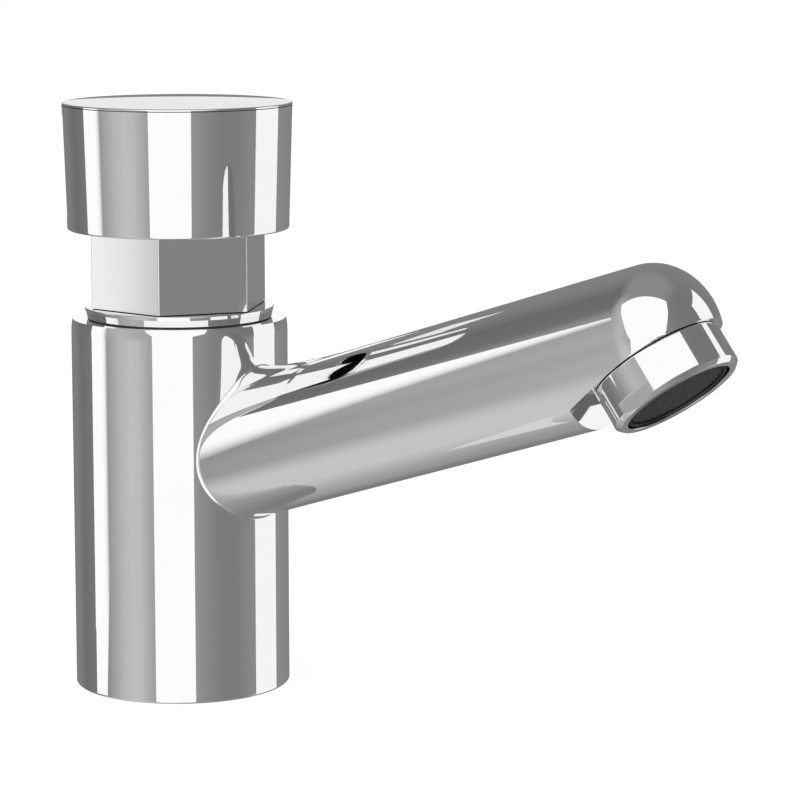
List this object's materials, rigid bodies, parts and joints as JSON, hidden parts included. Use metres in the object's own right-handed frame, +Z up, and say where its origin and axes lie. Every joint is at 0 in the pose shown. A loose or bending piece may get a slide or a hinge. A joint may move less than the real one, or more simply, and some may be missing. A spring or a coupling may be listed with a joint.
{
  "type": "push timed tap",
  "caption": "Deck-mounted tap with a round pillar body, a rising straight spout with a slanted aerator, and a sprung push button on a hexagonal bonnet.",
  "frame": {"origin": "centre of the base, on the deck face", "axes": "+Z up along the body and the button's travel, -Y along the spout"},
  "size_m": [0.0476, 0.1589, 0.1227],
  "materials": {
    "chrome": "mirror plated",
    "brass": "turned",
    "steel": "turned",
    "rubber": "matte",
    "white_plastic": "machined",
    "grey_plastic": "moulded",
    "black_plastic": "moulded"
  },
  "bodies": {
    "tap_body": {"body_shell": "chrome", "spout": "chrome", "spout_braze_fillet": "chrome", "base_gasket": "rubber", "flow_regulator": "white_plastic", "inlet_strainer": "steel", "valve_seat": "brass", "seat_o_ring": "rubber", "cage": "white_plastic", "bonnet": "chrome", "bonnet_gasket": "rubber", "guide_bush": "brass", "stem_seal": "rubber", "seal_retainer": "brass", "timing_needle": "steel", "return_spring": "steel", "aerator_ring": "chrome", "aerator_gasket": "rubber", "aerator_insert": "black_plastic", "aerator_mesh": "grey_plastic"},
    "push_button": {"button_cap": "chrome", "button_hub": "black_plastic", "hub_ring": "steel", "grub_screw": "steel", "stem": "steel", "piston": "white_plastic", "lip_seal": "rubber", "piston_clip": "steel", "valve_washer": "rubber", "valve_disc": "brass", "stem_nut": "steel"}
  },
  "joints": [
    {"name": "button_push", "type": "slide", "parent": "tap_body", "child": "push_button", "axis": [0, 0, -1], "range_m": [0, 0.008], "stiffness_N_per_m": 1500, "springref_m": -0.008, "deforming": ["return_spring"]}
  ]
}
